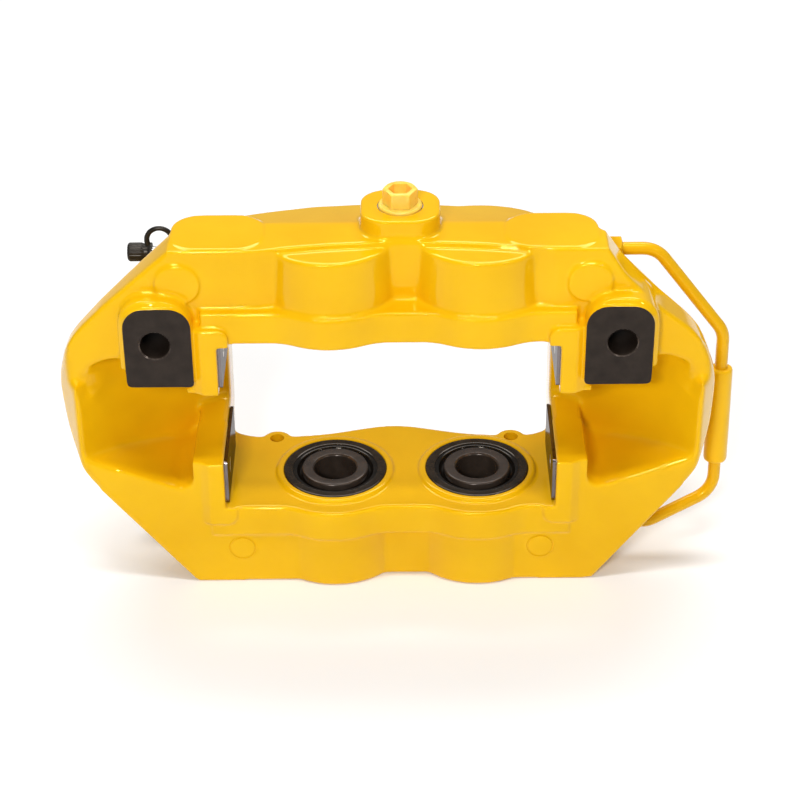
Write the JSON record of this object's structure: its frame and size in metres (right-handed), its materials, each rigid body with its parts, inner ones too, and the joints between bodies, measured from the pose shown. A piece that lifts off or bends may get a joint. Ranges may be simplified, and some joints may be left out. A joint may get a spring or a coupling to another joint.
{
  "type": "brake caliper",
  "caption": "Fixed disc-brake caliper cast in one piece, with opposed pistons, radial mounting lugs, crossover pipe, bleed screws and a shipping plug.",
  "frame": {"origin": "midway between the two mounting holes, on their machined face", "axes": "+X along the caliper towards the crossover pipe, +Y away from the disc's centre, +Z inboard along the disc's axis"},
  "size_m": [0.3174, 0.0894, 0.1945],
  "materials": {
    "body_paint": "gloss",
    "piston_anodised": "satin",
    "seal_rubber": "matte",
    "boot_rubber": "satin",
    "ring_steel": "satin",
    "stainless": "satin",
    "steel": "zinc plated",
    "cap_rubber": "satin",
    "plug_plastic": "gloss"
  },
  "bodies": {
    "caliper": {"caliper_body": "body_paint", "abutment_screws": "steel", "piston_seal_outboard_left": "seal_rubber", "dust_boot_outboard_left": "boot_rubber", "boot_ring_outboard_left": "ring_steel", "abutment_plate_outboard_left": "stainless", "piston_seal_outboard_right": "seal_rubber", "dust_boot_outboard_right": "boot_rubber", "boot_ring_outboard_right": "ring_steel", "abutment_plate_outboard_right": "stainless", "piston_seal_inboard_left": "seal_rubber", "dust_boot_inboard_left": "boot_rubber", "boot_ring_inboard_left": "ring_steel", "abutment_plate_inboard_left": "stainless", "piston_seal_inboard_right": "seal_rubber", "dust_boot_inboard_right": "boot_rubber", "boot_ring_inboard_right": "ring_steel", "abutment_plate_inboard_right": "stainless", "crossover_pipe": "body_paint", "pipe_sleeve": "body_paint", "pipe_nut_inboard": "body_paint", "pipe_nut_outboard": "body_paint"},
    "bleed_cap_inboard": {"bleed_cap_inboard": "cap_rubber"},
    "bleed_cap_outboard": {"bleed_cap_outboard": "cap_rubber"},
    "bleed_screw_inboard": {"bleed_screw_inboard": "steel"},
    "bleed_screw_outboard": {"bleed_screw_outboard": "steel"},
    "piston_inboard_left": {"piston_inboard_left": "piston_anodised"},
    "piston_inboard_right": {"piston_inboard_right": "piston_anodised"},
    "piston_outboard_left": {"piston_outboard_left": "piston_anodised"},
    "piston_outboard_right": {"piston_outboard_right": "piston_anodised"},
    "port_plug": {"port_plug": "plug_plastic"}
  },
  "joints": [
    {"name": "piston_outboard_left_slide", "type": "slide", "parent": "caliper", "child": "piston_outboard_left", "axis": [0, 0, 1], "range_m": [0, 0.01], "deforming": ["dust_boot_outboard_left"]},
    {"name": "piston_outboard_right_slide", "type": "slide", "parent": "caliper", "child": "piston_outboard_right", "axis": [0, 0, 1], "range_m": [0, 0.01], "deforming": ["dust_boot_outboard_right"]},
    {"name": "piston_inboard_left_slide", "type": "slide", "parent": "caliper", "child": "piston_inboard_left", "axis": [0, 0, -1], "range_m": [0, 0.01], "deforming": ["dust_boot_inboard_left"]},
    {"name": "piston_inboard_right_slide", "type": "slide", "parent": "caliper", "child": "piston_inboard_right", "axis": [0, 0, -1], "range_m": [0, 0.01], "deforming": ["dust_boot_inboard_right"]},
    {"name": "bleed_screw_outboard_turn", "type": "hinge", "parent": "caliper", "child": "bleed_screw_outboard", "pos_m": [-0.092, 0.049, -0.12], "axis": [-1, 0, 0], "range_deg": [0, 180]},
    {"name": "bleed_cap_outboard_pull", "type": "slide", "parent": "bleed_screw_outboard", "child": "bleed_cap_outboard", "axis": [-1, 0, 0], "range_m": [0, 0.02]},
    {"name": "bleed_screw_inboard_turn", "type": "hinge", "parent": "caliper", "child": "bleed_screw_inboard", "pos_m": [-0.092, 0.048, 0.0222], "axis": [-1, 0, 0], "range_deg": [0, 180]},
    {"name": "bleed_cap_inboard_pull", "type": "slide", "parent": "bleed_screw_inboard", "child": "bleed_cap_inboard", "axis": [-1, 0, 0], "range_m": [0, 0.02]},
    {"name": "port_plug_lift", "type": "slide", "parent": "caliper", "child": "port_plug", "axis": [0, 0, 1], "range_m": [0, 0.02]}
  ]
}
